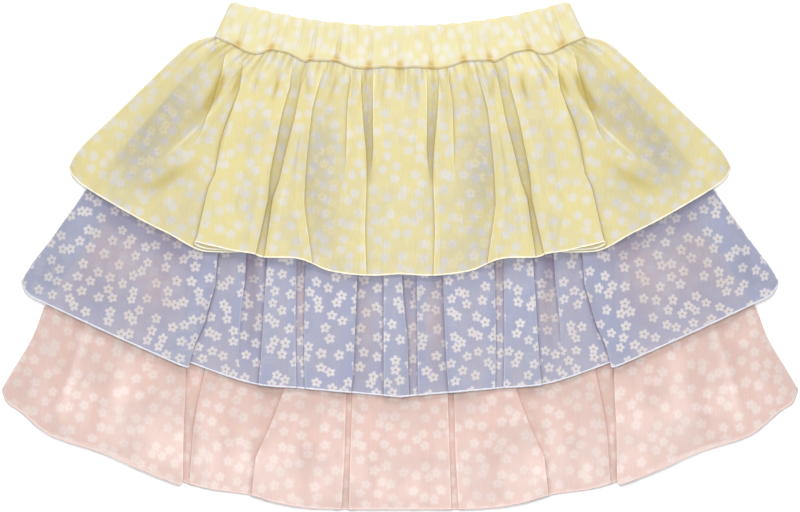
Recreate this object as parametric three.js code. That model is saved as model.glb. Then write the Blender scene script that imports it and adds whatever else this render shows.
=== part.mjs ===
// A child's pull-on skirt with three gathered tiers, laid flat on its back.
// Millimetres. +X runs across the skirt, +Y towards the waist, +Z up from the surface it lies on.
// The tiers grow in length and hang one inside the other from one elastic waistband: the top
// tier is outermost and the bottom tier innermost. Each tier is a front and a back panel that
// lie on each other and meet at the side seams. The left half of each outline is given, and the
// right half mirrors it.

import * as THREE from 'three';

const WALL = 1; // cloth, with its fine gathers
const GAP = 0.3; // left at seams and between layers
const LAYER = WALL + GAP;

// The waistband is a ring of gathered casing over elastic, pressed flat.
const BAND_HEIGHT = 6 * WALL + 5 * GAP; // as high as the six layers sewn to it
const BAND_SLOT = 0.6; // between its front and its back
const BAND_TOP_HALF = 110.5;
const BAND_SEAM_HALF = 121.5;
const BAND_TOP_Y = 149.8;
const BAND_TOP_RISE = 15.2; // from the middle to the ends
const BAND_SEAM_Y = 121.2;
const BAND_SEAM_RISE = 21.2;
const BAND_CURVE = 2.1;
const BAND_ENDS = 6; // facets of each rounded end

const FULL_RISE = 45; // below the seam, where the folds have their whole height
const EDGE_RISE = 30; // in from a side edge, likewise
const STACK_SLACK = 0.5; // spare height between gathered layers, at full rise
const SHOULDER = 0.45; // share of the way in from a side edge where the layer below begins
const READ_IN = 4; // a layer rises this much before the one below it does
const HEM_CLEAR = 3; // a layer starts down this far past the hem that it lies on
const HEM_DROP = 12; // and is down this much further on
const BACK_SHORT = 1.5; // a back hem lies this far inside the front hem
const BACK_COLUMNS = 26;

// side: the edge from the waist seam to the corner. hem: from the corner to the middle.
// folds: [x at the waist seam, x at the hem, height of the fold], from the edge to the middle.
const TIERS = [
  {
    name: 'top_tier',
    colour: 0xf5e6a0,
    side: [[-121, 141.6], [-135, 137.5], [-147.6, 127.4], [-182, 94.3], [-208, 69.6], [-215.8, 57.2]],
    hem: [
      [-215.8, 57.2], [-211.3, 50], [-201.5, 42.9], [-169, 24.1], [-149.5, 14.3], [-131, 5.5],
      [-97, 2.5], [-65, -1.8], [-45.5, -9.5], [-21.5, -12.5], [0, -11.5],
    ],
    folds: [
      [-121, -215.8, 0], [-119.6, -210, 0.4], [-118, -203, 1.2], [-115.5, -190, 2.6], [-113, -175, 0.4],
      [-108, -158, 2.8], [-103.5, -145, 2.2], [-100.4, -134.5, 0.3], [-99, -131, 3.2], [-93, -118, 2.5],
      [-87, -105, 0.9], [-79, -99, 2.3], [-71, -92.5, 1.8], [-68.5, -89.5, 0.2], [-65, -84, 2.8],
      [-58, -70, 2.4], [-51.5, -58.5, 3.2], [-50, -56, 0.4], [-42, -45, 0.8], [-34, -35, 2.7],
      [-24.5, -25, 2.5], [-21.5, -21.5, 0.2], [-18, -17.5, 3.2], [-9, -9, 2.6], [0, 0, 3],
    ],
  },
  {
    name: 'middle_tier',
    colour: 0xa3afd3,
    side: [[-117, 138], [-160, 90.4], [-183, 65], [-203.5, 42.3], [-227.5, 9.8], [-240.5, -7], [-247, -17.6]],
    hem: [
      [-247, -17.6], [-241.5, -25.5], [-229.5, -31.2], [-195, -45.5], [-162.5, -58.5], [-137, -69],
      [-97.5, -82.4], [-65, -85.8], [-32.5, -88.6], [0, -91.5],
    ],
    folds: [
      [-117, -247, 0], [-115.5, -240, 0.7], [-113.5, -230, 1.8], [-110, -214, 0.6], [-105, -196, 2.2],
      [-99, -176, 0.7], [-93, -158, 2.2], [-88.5, -142, 0.4], [-87, -137.5, 2.5], [-83, -125, 1.8],
      [-79.5, -111, 0.8], [-77, -95.5, 0.3], [-75.5, -91.5, 2.4], [-70, -80, 1.6], [-62, -68, 0.5],
      [-54, -57, 2.2], [-44, -46, 1], [-35, -38, 2], [-28.5, -33, 0.4], [-27, -30, 2.5],
      [-19, -20, 1.6], [-12, -12.5, 0.5], [-10, -10, 2.3], [0, 0, 1.8],
    ],
  },
  {
    name: 'bottom_tier',
    colour: 0xf0c8be,
    side: [
      [-113, 135], [-171, 52.3], [-205, 3.8], [-229.5, -31.2], [-240.5, -55.9], [-253.5, -77.4],
      [-259.7, -87.8],
    ],
    hem: [
      [-259.7, -87.8], [-255.5, -95.8], [-247, -101.4], [-227.5, -116.4], [-195, -126.1],
      [-167, -137.2], [-130, -150.3], [-97.5, -155.6], [-78, -161], [-52, -164.5], [0, -165],
    ],
    folds: [
      [-113, -259.7, 0], [-111, -251, 0.9], [-108, -240, 2], [-105, -230, 0.6], [-102.5, -223, 2.2],
      [-97, -205, 1.2], [-92, -190, 0.6], [-86, -176, 2], [-80, -160, 0.8], [-73.5, -146, 0.4],
      [-71.5, -141, 2.5], [-67, -131, 0.6], [-60, -118, 2], [-52, -103, 1], [-47.5, -94.5, 0.3],
      [-45.5, -90, 2.5], [-38, -74, 1.4], [-31, -60, 0.6], [-24, -46, 2.2], [-18.5, -36.5, 0.3],
      [-16, -32, 2.3], [-9, -17, 1.2], [0, 0, 2],
    ],
  },
];
const MOST_LIFT = [3.2, 2.5, 2.5]; // the highest fold of each tier

const CURVE_STEPS = 400;
const lerp = THREE.MathUtils.lerp;
const clamp01 = (value) => THREE.MathUtils.clamp(value, 0, 1);

// The waist seam, where every tier is sewn to the band.
function seamY(x) {
  return BAND_SEAM_Y + BAND_SEAM_RISE * Math.abs(x / BAND_SEAM_HALF) ** BAND_CURVE;
}

function curveThrough(points) {
  return new THREE.SplineCurve(points.map(([x, y]) => new THREE.Vector2(x, y)));
}

// Reads `want` off a curve where its `key` coordinate, which only grows or only falls, is `value`.
function readCurve(points, key, want, value) {
  const grows = points.at(-1)[key] > points[0][key];
  const next = points.findIndex((p) => (grows ? p[key] >= value : p[key] <= value));
  if (next === -1) {
    return points.at(-1)[want];
  }
  if (next === 0) {
    return points[0][want];
  }
  const [a, b] = [points[next - 1], points[next]];
  return lerp(a[want], b[want], (value - a[key]) / (b[key] - a[key]));
}

for (const tier of TIERS) {
  tier.sideCurve = curveThrough(tier.side);
  tier.sidePoints = tier.sideCurve.getPoints(CURVE_STEPS);
  tier.hemPoints = curveThrough(tier.hem).getPoints(CURVE_STEPS);
}

function hemY(tier, x) {
  return readCurve(tier.hemPoints, 'x', 'y', -Math.abs(x));
}

function halfWidth(tier, y) {
  return -readCurve(tier.sidePoints, 'y', 'x', y);
}

// 1 where this tier lies under the next one in, falling to 0 past its hem.
function cover(tier, x, y) {
  return clamp01((y - hemY(tier, x) + HEM_CLEAR + HEM_DROP) / HEM_DROP);
}

// The underside of a back panel: it lies on the backs of the tiers outside it.
function backLevel(index, x, y) {
  return TIERS.slice(0, index).reduce((sum, tier) => sum + LAYER * cover(tier, x, y), 0);
}

// How much of its height a fold has at this place: none at the seam and at the side edge.
function foldShare(index, x, y) {
  const fromSeam = clamp01((seamY(x) - y) / FULL_RISE);
  return fromSeam * clamp01((halfWidth(TIERS[index], y) - Math.abs(x)) / EDGE_RISE);
}

// The underside of a front panel where it has no fold. It lies on the highest folds of the tier
// inside it, and comes down to its own back at the side edge.
function frontLevel(index, x, y) {
  const atEdge = backLevel(index, x, y) + LAYER;
  if (index === TIERS.length - 1) {
    return atEdge;
  }
  const inner = index + 1;
  const fromSeam = clamp01((seamY(x) - y) / FULL_RISE);
  const inX = Math.max(Math.abs(x) - READ_IN, 0);
  const folds = MOST_LIFT[inner] * foldShare(inner, inX, y) + STACK_SLACK * fromSeam;
  const onInner = frontLevel(inner, inX, y) + folds + LAYER;
  const own = halfWidth(TIERS[index], y);
  const way = (own - Math.abs(x)) / Math.max(own - halfWidth(TIERS[inner], y), GAP);
  return lerp(atEdge, onInner, clamp01(way / SHOULDER));
}

// A point of a panel, `way` of the way down the line from its waist x to its hem x. Lines near
// the sides follow the curve of the side edge.
function placeOn(tier, waistX, hemX, way, short) {
  const [sideTop, corner] = [tier.sideCurve.getPoint(0), tier.sideCurve.getPoint(1)];
  const start = new THREE.Vector2(waistX, seamY(waistX) - GAP);
  const end = new THREE.Vector2(hemX, hemY(tier, hemX) + short);
  const bulge = tier.sideCurve.getPointAt(way).sub(sideTop.lerp(corner.clone(), way));
  const weight = Math.abs(hemX / corner.x) ** 5;
  const point = start.lerp(end, way);
  return new THREE.Vector2(point.x - Math.sign(hemX) * bulge.x * weight, point.y + bulge.y * weight);
}

// The place on that line where it crosses `line`, a height y for each x.
function crossing(tier, waistX, hemX, line, short) {
  let [low, high] = [0, 1];
  for (let step = 0; step < 30; step += 1) {
    const way = (low + high) / 2;
    const point = placeOn(tier, waistX, hemX, way, short);
    if (point.y > line(point.x)) {
      low = way;
    } else {
      high = way;
    }
  }
  return low;
}

// The rows of a panel down one of its lines, as shares of its length. They fall where the height
// of the layers changes: below the seam and past each hem that lies under the panel.
function rowShares(index, waistX, hemX, short) {
  const tier = TIERS[index];
  const at = (line) => crossing(tier, waistX, hemX, line, short);
  const breaks = [0, ...[12, 28, FULL_RISE].map((down) => at((x) => seamY(x) - down))];
  for (const outer of TIERS.slice(0, index)) {
    const past = (down) => at((x) => hemY(outer, x) - down);
    const [first, last] = [past(HEM_CLEAR), past(HEM_CLEAR + HEM_DROP)];
    breaks.push((breaks.at(-1) + first) / 2, first, last);
  }
  const left = 1 - breaks.at(-1);
  return [...breaks, 1 - left / 2, 1];
}

function mirrored(half) {
  return [...half, ...half.slice(0, -1).reverse().map(([a, b, ...rest]) => [-a, -b, ...rest])];
}

// A closed solid from rows of points on its underside, rows running down and points to the right.
function sheetSolid(rows) {
  const [count, width] = [rows.length, rows[0].length];
  const position = [0, WALL].flatMap((up) => rows.flat().flatMap((p) => [p.x, p.y, p.z + up]));
  const low = (j, i) => j * width + i;
  const high = (j, i) => count * width + low(j, i);
  const index = [];
  const quad = (a, b, c, d) => index.push(a, b, c, a, c, d);
  for (let j = 0; j + 1 < count; j += 1) {
    for (let i = 0; i + 1 < width; i += 1) {
      quad(high(j, i), high(j + 1, i), high(j + 1, i + 1), high(j, i + 1));
      quad(low(j, i), low(j, i + 1), low(j + 1, i + 1), low(j + 1, i));
    }
  }
  const [lastRow, lastPoint] = [count - 1, width - 1];
  for (let j = 0; j < lastRow; j += 1) {
    quad(low(j, 0), low(j + 1, 0), high(j + 1, 0), high(j, 0));
    quad(low(j + 1, lastPoint), low(j, lastPoint), high(j, lastPoint), high(j + 1, lastPoint));
  }
  for (let i = 0; i < lastPoint; i += 1) {
    quad(low(lastRow, i), low(lastRow, i + 1), high(lastRow, i + 1), high(lastRow, i));
    quad(low(0, i + 1), low(0, i), high(0, i), high(0, i + 1));
  }
  return solidFrom(position, index);
}

function solidFrom(position, index) {
  const geometry = new THREE.BufferGeometry();
  geometry.setAttribute('position', new THREE.Float32BufferAttribute(position, 3));
  geometry.setIndex(index);
  return geometry;
}

// A panel from its lines, [waist x, hem x, height of the fold], and the level it lies at.
function panelSolid(index, lines, short, level) {
  const tier = TIERS[index];
  const columns = lines.map(([waistX, hemX, lift]) =>
    rowShares(index, waistX, hemX, short).map((way) => {
      const { x, y } = placeOn(tier, waistX, hemX, way, short);
      return new THREE.Vector3(x, y, level(index, x, y) + lift * foldShare(index, x, y));
    }),
  );
  return sheetSolid(columns[0].map((_, j) => columns.map((column) => column[j])));
}

function backLines(tier) {
  const [waistEdge, hemEdge] = tier.folds[0];
  return Array.from({ length: BACK_COLUMNS + 1 }, (_, i) => {
    const across = (2 * i) / BACK_COLUMNS - 1;
    return [-waistEdge * across, -hemEdge * across, 0];
  });
}

// The waistband's section is a flat loop with round ends, drawn out from its top edge to the seam.
function bandLoop(inset, height, down) {
  const half = lerp(BAND_TOP_HALF, BAND_SEAM_HALF, down) - inset - height / 2;
  const places = TIERS[0].folds.filter((_, i) => i % 2 === 0).map(([x]) => x / BAND_SEAM_HALF);
  const across = mirrored(places.map((place) => [place, 0])).map(([place]) => place);
  const loop = across.map((place) => ({ place, x: place * half, z: height / 2 }));
  const turn = (side, start) => {
    for (let step = 1; step < BAND_ENDS; step += 1) {
      const angle = start - (Math.PI * step) / BAND_ENDS;
      loop.push({ place: side, x: side * half + (height / 2) * Math.cos(angle), z: (height / 2) * Math.sin(angle) });
    }
  };
  loop[0].place = -1;
  loop[0].x = -half;
  loop.at(-1).place = 1;
  loop.at(-1).x = half;
  turn(1, Math.PI / 2);
  loop.push(...across.toReversed().map((place) => ({ place, x: place * half, z: -height / 2 })));
  loop.at(-1).x = -half;
  turn(-1, -Math.PI / 2);
  return loop.map(({ place, x, z }) => {
    const top = BAND_TOP_Y + BAND_TOP_RISE * Math.abs(place) ** BAND_CURVE;
    const seam = BAND_SEAM_Y + BAND_SEAM_RISE * Math.abs(place) ** BAND_CURVE;
    return [x, lerp(top, seam, down), BAND_HEIGHT / 2 + z];
  });
}

function bandSolid() {
  const shares = [0, 0.5, 1];
  const wall = (BAND_HEIGHT - BAND_SLOT) / 2;
  const outer = shares.map((down) => bandLoop(0, BAND_HEIGHT, down));
  const inner = shares.map((down) => bandLoop(wall, BAND_SLOT, down)).reverse();
  const rings = [...outer, ...inner];
  const around = outer[0].length;
  const index = [];
  rings.forEach((_, r) => {
    const next = (r + 1) % rings.length;
    for (let i = 0; i < around; i += 1) {
      const j = (i + 1) % around;
      const [a, b, c, d] = [r * around + i, next * around + i, next * around + j, r * around + j];
      index.push(a, b, c, a, c, d);
    }
  });
  return solidFrom(rings.flat(2), index);
}

function clothMesh(name, geometry, colour) {
  const mesh = new THREE.Mesh(
    geometry,
    new THREE.MeshStandardMaterial({ color: colour, roughness: 0.85, metalness: 0, side: THREE.DoubleSide }),
  );
  mesh.name = name;
  return mesh;
}

const skirt = new THREE.Group();
skirt.add(clothMesh('waistband', bandSolid(), 0xf3e5a6));
TIERS.forEach((tier, index) => {
  const front = panelSolid(index, mirrored(tier.folds), 0, frontLevel);
  const back = panelSolid(index, backLines(tier), BACK_SHORT, backLevel);
  skirt.add(clothMesh(`${tier.name}_front`, front, tier.colour));
  skirt.add(clothMesh(`${tier.name}_back`, back, tier.colour));
});

export default skirt;
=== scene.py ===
import math

import bpy
import numpy as np
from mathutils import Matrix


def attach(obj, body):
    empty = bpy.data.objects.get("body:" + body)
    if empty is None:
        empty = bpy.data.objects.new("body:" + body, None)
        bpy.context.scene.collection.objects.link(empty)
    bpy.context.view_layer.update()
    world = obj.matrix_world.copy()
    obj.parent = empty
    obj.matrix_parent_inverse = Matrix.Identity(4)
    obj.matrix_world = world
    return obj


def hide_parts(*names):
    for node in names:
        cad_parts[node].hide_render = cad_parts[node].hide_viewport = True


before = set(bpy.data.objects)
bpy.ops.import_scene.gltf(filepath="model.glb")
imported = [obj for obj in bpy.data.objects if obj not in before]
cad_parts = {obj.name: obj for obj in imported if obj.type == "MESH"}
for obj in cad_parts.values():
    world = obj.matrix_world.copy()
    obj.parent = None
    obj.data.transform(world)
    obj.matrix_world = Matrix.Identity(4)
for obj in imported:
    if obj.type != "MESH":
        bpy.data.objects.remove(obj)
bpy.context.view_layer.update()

# ---------------------------------------------------------------------------
# The table and the light. A plain white top, a large soft lamp above the waist end, a small one over
# the middle and even light from all round, as garments are laid out to be shown.
MM = 0.001
table_size = 6.0
half_table = table_size / 2 / MM

scene = bpy.context.scene
scene.view_settings.view_transform = "Standard"
scene.cycles.transparent_max_bounces = 40


def finish_of(name, colour, rough):
    """A material of one Principled shader, with its node tree."""
    material = bpy.data.materials.new(name)
    material.use_nodes = True
    shader = material.node_tree.nodes["Principled BSDF"]
    shader.inputs["Base Color"].default_value = (*colour, 1)
    shader.inputs["Roughness"].default_value = rough
    return material, material.node_tree, shader


def mesh_piece(name, points, faces, material):
    """A smooth mesh from points in millimetres."""
    mesh = bpy.data.meshes.new(name)
    mesh.from_pydata((np.asarray(points) * MM).tolist(), [], faces)
    mesh.polygons.foreach_set("use_smooth", [True] * len(mesh.polygons))
    mesh.materials.append(material)
    piece = bpy.data.objects.new(name, mesh)
    bpy.context.collection.objects.link(piece)
    return piece


table_finish, _, _ = finish_of("white_table", (0.93, 0.93, 0.93), 0.9)
table = mesh_piece(
    "table",
    [(x * half_table, y * half_table, -0.05) for x, y in ((-1, -1), (1, -1), (1, 1), (-1, 1))],
    [(0, 1, 2, 3)],
    table_finish,
)

world = bpy.data.worlds.new("studio")
world.use_nodes = True
surround = world.node_tree.nodes["Background"]
surround.inputs["Color"].default_value = (1.0, 1.0, 1.0, 1)
surround.inputs["Strength"].default_value = 0.80
scene.world = world


def soft_lamp(name, place, size, power):
    """A square lamp that faces the middle of the skirt."""
    data = bpy.data.lights.new(name, "AREA")
    data.size = size
    data.energy = power
    lamp = bpy.data.objects.new(name, data)
    lamp.location = place
    lamp.visible_camera = False
    x, y, z = place
    away = math.atan2(math.hypot(x, y), z)
    lamp.rotation_euler = (away, 0, math.atan2(y, x) + math.pi / 2)
    bpy.context.collection.objects.link(lamp)


soft_lamp("lamp_waist_end", (0, 1.1, 1.2), 0.5, 15)
soft_lamp("lamp_middle", (0, 0.02, 0.5), 0.12, 1.3)

# The camera looks straight down. Its view is just wider than the skirt, halfway up it.
across_view = 0.52
half_thickness = 0.008
camera_data = bpy.data.cameras.new("camera")
camera_data.lens = 135
camera_data.sensor_width = 36
camera_data.clip_end = 20
camera = bpy.data.objects.new("camera", camera_data)
camera.location = (0, 0, across_view * camera_data.lens / camera_data.sensor_width + half_thickness)
bpy.context.collection.objects.link(camera)
scene.camera = camera

# ---------------------------------------------------------------------------
# The cut of the three tiers. Each is a front and a back panel of voile, gathered at the top, that
# hang one inside the other from one waist seam. Lengths are in millimetres, on the laid-out skirt.
WALL = 1.0
LAYER = WALL + 0.3  # from one layer of cloth to the next
seam_left = [
    (-121.5, 142.4), (-110.5, 137.8), (-104, 134.2), (-97, 131.4), (-91, 131.2), (-84, 133.4), (-73, 131.6),
    (-62.5, 126.2), (-57, 126.6), (-43, 126.2), (-31, 122.6), (-21, 121.4), (-9.5, 122.6), (0, 121.4),
]
tiers = {
    "top": {
        "waist": 121.3,
        "side": [(-121, 141.6), (-135, 137.5), (-147.6, 127.4), (-182, 94.3), (-208, 69.6), (-215.8, 57.2)],
        "hem": [
            (-215.8, 57.2), (-211.3, 50), (-201.5, 42.9), (-169, 24.1), (-149.5, 14.3), (-131, 4.2),
            (-115.7, 2.4), (-97, 2.0), (-88, -0.7), (-65, -1.8), (-45.5, -9.5), (-21.5, -12.5), (0, -11.5),
        ],
    },
    "middle": {
        "waist": 117,
        "side": [
            (-117, 138), (-160, 90.4), (-183, 65), (-203.5, 42.3), (-227.5, 9.8), (-240.5, -7),
            (-247, -17.6),
        ],
        "hem": [
            (-247, -17.6), (-241.5, -25.5), (-229.5, -31.2), (-195, -45.5), (-162.5, -58.5),
            (-137, -69), (-97.5, -82.4), (-65, -85.8), (-32.5, -88.6), (0, -91.5),
        ],
    },
    "bottom": {
        "waist": 113,
        "side": [
            (-113, 135), (-171, 52.3), (-205, 3.8), (-229.5, -31.2), (-240.5, -55.9), (-253.5, -77.4),
            (-259.7, -87.8),
        ],
        "hem": [
            (-259.7, -87.8), (-255.5, -95.8), (-247, -101.4), (-227.5, -116.4), (-195, -126.1),
            (-167, -137.2), (-130, -150.3), (-97.5, -155.6), (-78, -161), (-52, -164.5), (0, -165),
        ],
    },
}
nesting = ["top", "middle", "bottom"]
full_rise = 45  # how far below the seam a fold has all its height
edge_rise = 30  # and how far in from the side edge
most_lift = {"top": 3.2, "middle": 2.5, "bottom": 2.5}  # the highest fold of each front panel
stack_slack = 0.5  # the room left over those folds
hem_clear, hem_drop = 3, 12  # where and how fast a back panel comes down past the next tier's hem
read_in, shoulder = 4, 0.45  # the same for a front panel, past the side of the tier inside it
tuck = 1.2  # how far the panels run up under the waistband
side_roll = 3.0  # how much of a front panel's side edge turns down to the back one
back_base, front_base = 0.12, 0.5  # how high a panel's cloth lies in its layer
most_shade = 1.6  # no fold throws more


def smooth_curve(points, steps=60):
    """Points along a smooth curve through the given ones."""
    p = np.array([points[0], *points, points[-1]], float)
    t = np.linspace(0, 1, steps, endpoint=False)[:, None]
    runs = []
    for a, b, c, d in zip(p, p[1:], p[2:], p[3:]):
        runs.append(
            b + 0.5 * t * ((c - a) + t * ((2 * a - 5 * b + 4 * c - d) + t * (3 * (b - c) + d - a)))
        )
    return np.vstack([*runs, p[-1:]])


seam_curve = smooth_curve(seam_left)
for tier in tiers.values():
    tier["side_curve"] = smooth_curve(tier["side"])
    tier["hem_curve"] = smooth_curve(tier["hem"])
    tier["corner"] = -tier["hem"][0][0]


def ramp(value):
    """The value, held between 0 and 1."""
    return np.clip(value, 0, 1)


def soft(value):
    """The same, eased at both ends."""
    value = ramp(value)
    return value * value * (3 - 2 * value)


def mix(a, b, share):
    """The place that lies a share of the way from a to b."""
    return a + (b - a) * share


def seam_y(x):
    """Where the waist seam runs."""
    return np.interp(-np.abs(x), *seam_curve.T)


def hem_y(name, x):
    """Where the hem of a tier runs."""
    return np.interp(-np.abs(x), *tiers[name]["hem_curve"].T)


def half_width(name, y):
    """How far out the side edge of a tier is."""
    side = tiers[name]["side_curve"][::-1]
    return -np.interp(y, side[:, 1], side[:, 0])


def back_level(index, x, y):
    """The underside of a back panel: it lies on the backs of the tiers outside it."""
    level = np.zeros(np.shape(x))
    for name in nesting[:index]:
        level = level + LAYER * soft((y - hem_y(name, x) + hem_clear + hem_drop) / hem_drop)
    return level


def fold_share(index, x, y):
    """How much of its height a fold has at a place: none at the seam and at the side edge."""
    inwards = half_width(nesting[index], y) - np.abs(x)
    return ramp((seam_y(x) - y) / full_rise) * ramp(inwards / edge_rise)


def front_level(index, x, y):
    """The underside of a front panel: it lies on the highest folds of the tier inside it."""
    at_edge = back_level(index, x, y) + LAYER
    if index == len(nesting) - 1:
        return at_edge
    inner = index + 1
    in_x = np.maximum(np.abs(x) - read_in, 0)
    folds = most_lift[nesting[inner]] * fold_share(inner, in_x, y)
    slack = stack_slack * ramp((seam_y(x) - y) / full_rise)
    on_inner = front_level(inner, in_x, y) + folds + slack + LAYER
    own = half_width(nesting[index], y)
    way = (own - np.abs(x)) / np.maximum(own - half_width(nesting[inner], y), 0.3)
    return mix(at_edge, on_inner, ramp(way / shoulder))


def line_shares(name, path):
    """A fold's path, from places on the laid-out skirt, as shares down and across the panel."""
    tier = tiers[name]
    found = []
    for x, y in path:
        down = 0.5
        for _ in range(30):  # each round comes nearer to the share down
            across = x / mix(tier["waist"], tier["corner"], down)
            top, low = seam_y(across * tier["waist"]), hem_y(name, across * tier["corner"])
            down = (top - y) / (top - low)
        found.append((down, across))
    found.sort()
    return np.array(found)


# The way of the cloth through a pleat, from the lower layer to the upper one: the share of the
# overlap, the share of the height, and how many points are laid to the next place.
pleat_way = [
    (-0.04, 0.00, 4), (0.35, 0.02, 5), (0.85, 0.05, 4), (1.00, 0.17, 4), (0.85, 0.30, 5), (0.35, 0.36, 4),
    (0.06, 0.44, 3), (0.00, 0.68, 3), (0.05, 0.92, 3),
]


def pleat(side, path, overlaps, height, start=0.2, full=0.5, wane=2, end=3, lift=0, dark=1.4):
    """One pleat. Its upper layer lies to the right of `path` where side is 1, to the left where it is -1.
    It grows from share `start` down the panel to `full`, and may wane again. `lift` raises the hem
    of the upper layer, and `dark` is how wide its shadow lies on the lower one. All in millimetres."""
    return {
        "side": side, "path": path, "overlaps": overlaps, "height": height, "lift": lift, "dark": dark,
        "grows": (start, full), "wanes": (wane, end),
    }


def mirrored(folds):
    """The same pleats or creases on the other half of the panel."""
    return [
        {**fold, "path": [(-x, y) for x, y in fold["path"]], "side": -fold.get("side", 0)}
        for fold in folds[::-1]
    ]


def pleat_shade(x, high, parts):
    """Painted shadow on the lower layer beside each fold, with a thin painted dark line at the slit, and a
    painted highlight along the rim of the upper one.
    """
    shade = np.zeros_like(x)
    for edge, side, _, height, _, grown, fold in parts:
        past, own = (x - edge[:, None]) * side, high / (height[:, None] + 1e-3)
        below = np.exp(-((np.minimum(past, 0) / fold["dark"]) ** 2)) * (own < 0.3) * (past < 2)
        slit = np.exp(-(((past + 0.3) / 0.5) ** 2)) * (own < 0.4)
        rim = np.exp(-((past / 0.7) ** 2)) * (own > 0.6)
        shade += grown[:, None] * (below + 0.25 * slit - 0.6 * rim)
    return shade


widest_crest = 3.0  # at most this far from a fold to where its upper layer is highest
side_run = 12  # taken as the run beside an outermost fold, where no other fold follows
fewest = 6  # points between two folds


def pleated_rows(name, pleats, down, per_mm, smoothing):
    """Rows of points across a panel at shares `down` of its length, through all its pleats: the place
    across, the height, the lift of the hem, the cloth that the pleats have taken up so far, and the
    shade that they throw."""
    tier = tiers[name]
    width = mix(tier["waist"], tier["corner"], down)
    zero = np.zeros_like(down)
    parts = []
    for fold in pleats:
        shares = line_shares(name, fold["path"])
        edge = np.interp(down, shares[:, 0], shares[:, 1]) * width
        (start, full), (wane, end) = fold["grows"], fold["wanes"]
        grown = soft((down - start) / (full - start)) * (1 - soft((down - wane) / (end - wane)))
        overlap = np.interp(down, np.linspace(0, 1, len(fold["overlaps"])), fold["overlaps"]) * grown
        lift = fold["lift"] * ramp((down - 0.55) / 0.45)
        parts.append((edge, fold["side"], overlap + 0.01, fold["height"] * grown, lift, grown, fold))
    knots = [(-width, zero, zero, zero, 0)]
    spare = 0
    for i, (edge, side, overlap, height, lift, _, fold) in enumerate(parts):
        taken = 2 * max(fold["overlaps"])
        under, over = (spare, spare + taken) if side > 0 else (spare + taken, spare)
        way = [
            (edge + side * across * overlap, high * height, lift * high,
             zero + mix(under, over, ramp(turned)), count)
            for (across, high, count), turned in zip(pleat_way, np.linspace(-0.75, 1.25, len(pleat_way)))
        ]
        spare += taken
        inner = 0 <= i + side < len(parts)
        top_run = 0.5 * (parts[i + side][0] - edge) * side if inner else zero + side_run
        crest = edge + side * np.minimum(widest_crest, 0.5 * top_run)
        way.append((crest, height, lift, zero + over, 0))
        if side < 0:
            counts = [*[knot[4] for knot in way[-2::-1]], 0]
            way = [(*knot[:4], count) for knot, count in zip(way[::-1], counts)]
        gap = (way[0][0] - knots[-1][0]).max()
        knots[-1] = (*knots[-1][:4], max(fewest, int(gap * per_mm)))
        knots.extend(way)
    knots[-1] = (*knots[-1][:4], max(fewest, int((width - knots[-1][0]).max() * per_mm)))
    knots.append((width, zero, zero, zero + spare, 1))
    rows = []
    for part in range(4):  # the place, the height, the lift and the spare cloth
        runs = []
        for a, b in zip(knots, knots[1:]):
            t = np.arange(a[4]) / a[4]
            eased = t if part == 0 else t * t * (3 - 2 * t)
            runs.append(a[part][:, None] * (1 - eased) + b[part][:, None] * eased)
        row = np.hstack([*runs, knots[-1][part][:, None]])
        for _ in range(smoothing):
            row[:, 1:-1] = 0.25 * row[:, :-2] + 0.5 * row[:, 1:-1] + 0.25 * row[:, 2:]
        rows.append(row)
    return [*rows, pleat_shade(rows[0], rows[1], parts)]


def crease(path, width, depth, shade):
    """A soft trough, or a ridge where depth is over 0, along a path on the laid-out skirt. Its shade is
    painted: painted shade where it is over 0, painted highlight where it is below 0.
    """
    return {"path": path, "width": width, "depth": depth, "shade": shade}


def creased(creases, x, y):
    """The height and the painted shade and highlight that the creases give at each place."""
    height, shade = np.zeros_like(x), np.zeros_like(x)
    for fold in creases:
        path = smooth_curve(fold["path"], 5)
        nearest, passed = np.full(x.shape, 1e9), np.zeros_like(x)
        for i, (start, end) in enumerate(zip(path, path[1:])):
            run = end - start
            t = ramp(((x - start[0]) * run[0] + (y - start[1]) * run[1]) / (run @ run + 1e-9))
            away = np.hypot(x - start[0] - t * run[0], y - start[1] - t * run[1])
            closer = away < nearest
            nearest = np.where(closer, away, nearest)
            passed = np.where(closer, (i + t) / (len(path) - 1), passed)
        grown = np.exp(-((nearest / fold["width"]) ** 2)) * np.sin(np.pi * (0.1 + 0.8 * passed))
        height += fold["depth"] * grown
        shade += fold["shade"] * grown
    return height, shade


def waves(seed, across, down):
    """Low waves that run down the cloth, from 0 to about 1."""
    draw = np.random.default_rng(seed)
    total = np.zeros_like(across)
    for _ in range(8):
        count, lean, phase = draw.uniform(6, 22), draw.uniform(-3, 3), draw.uniform(0, 2 * np.pi)
        total += np.sin(count * across + lean * down + phase)
    return ramp(0.5 + total / 8)


def lay_panel(name, rows, down, level, base, shorter=0, seed=0, wave=0.0, creases=(), gathers=None):
    """Places the rows of a panel on the laid-out skirt. Gives x, y and z in millimetres, and the shade."""
    tier = tiers[name]
    index = nesting.index(name)
    x, lift, up, spare, shade = rows
    v = down[:, None] * np.ones_like(x)
    across = np.clip(x / mix(tier["waist"], tier["corner"], v), -1, 1)
    y = mix(seam_y(across * tier["waist"]) + tuck, hem_y(name, across * tier["corner"]) + shorter, v)
    side = tier["side_curve"]
    along = np.hstack([0, np.cumsum(np.hypot(*np.diff(side, axis=0).T))])
    along /= along[-1]
    straight = mix(side[0], side[-1], along[:, None])
    bulge = [np.interp(v, along, side[:, k] - straight[:, k]) * np.abs(across) ** 5 for k in (0, 1)]
    x = x - np.sign(across) * bulge[0]
    y = y + bulge[1] + up * v**2
    z = level(index, x, y) + base + lift * fold_share(index, x, y)
    z = z + wave * waves(seed, across, v) * fold_share(index, x, y)
    if creases:
        height, darker = creased(creases, x, y)
        z, shade = z + height * fold_share(index, x, y), shade + darker
    if gathers is not None:
        height, darker = gathers(across * tier["waist"], seam_y(x) - y)
        z, shade = z + height, shade + darker
    return np.stack([x, y, z], 2), np.clip(shade, -1, most_shade), spare


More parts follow.
